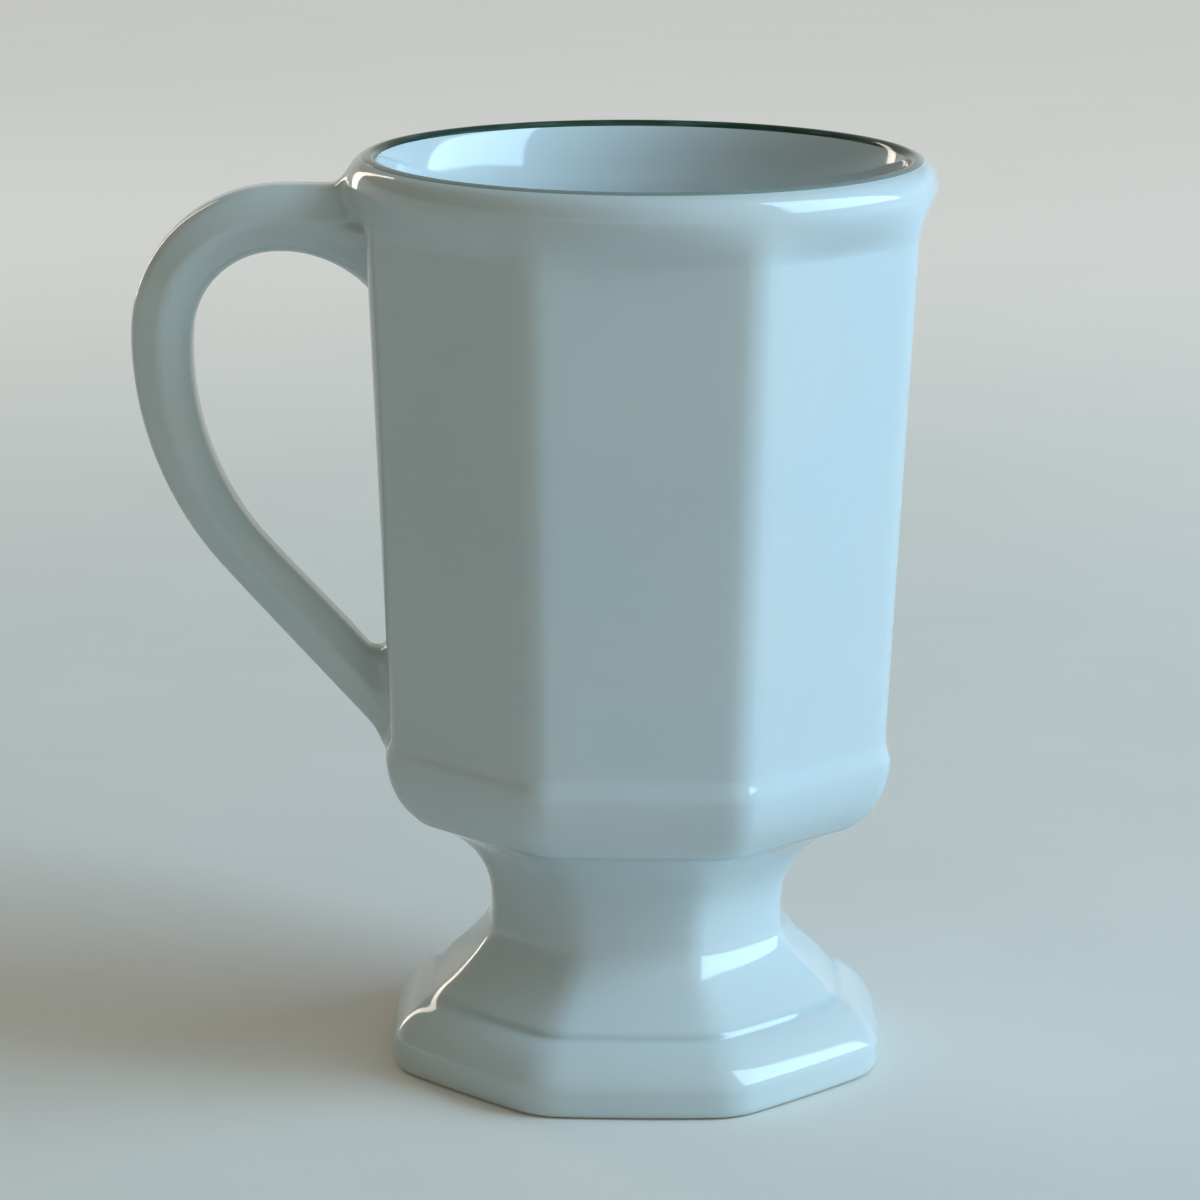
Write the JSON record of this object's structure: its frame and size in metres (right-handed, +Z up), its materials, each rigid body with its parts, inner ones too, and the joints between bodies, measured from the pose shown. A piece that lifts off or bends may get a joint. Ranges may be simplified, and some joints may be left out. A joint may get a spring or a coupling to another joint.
{
  "type": "pedestal mug",
  "caption": "Octagonal pedestal mug in glossy white glazed stoneware, with a faceted loop handle, a round rolled collar and a dark green line on the lip.",
  "frame": {"origin": "middle of the footprint of mug and handle together, on the plane that the foot ring rests on", "axes": "+Z up along the axis of the mug, -X towards the handle, +Y across the flats of the handle, so y = 0 is the plane of symmetry"},
  "size_m": [0.1218, 0.089, 0.14],
  "materials": {
    "white_glaze": "glossy white glaze on stoneware",
    "green_line": "dark green underglaze line under clear gloss",
    "slip_under_glaze": "luting slip under the same glossy white glaze"
  },
  "bodies": {
    "root": {"bowl": "white_glaze", "rim_line": "green_line", "pedestal": "white_glaze", "neck_slip": "slip_under_glaze", "handle": "white_glaze", "upper_handle_slip": "slip_under_glaze", "lower_handle_slip": "slip_under_glaze"}
  },
  "joints": []
}
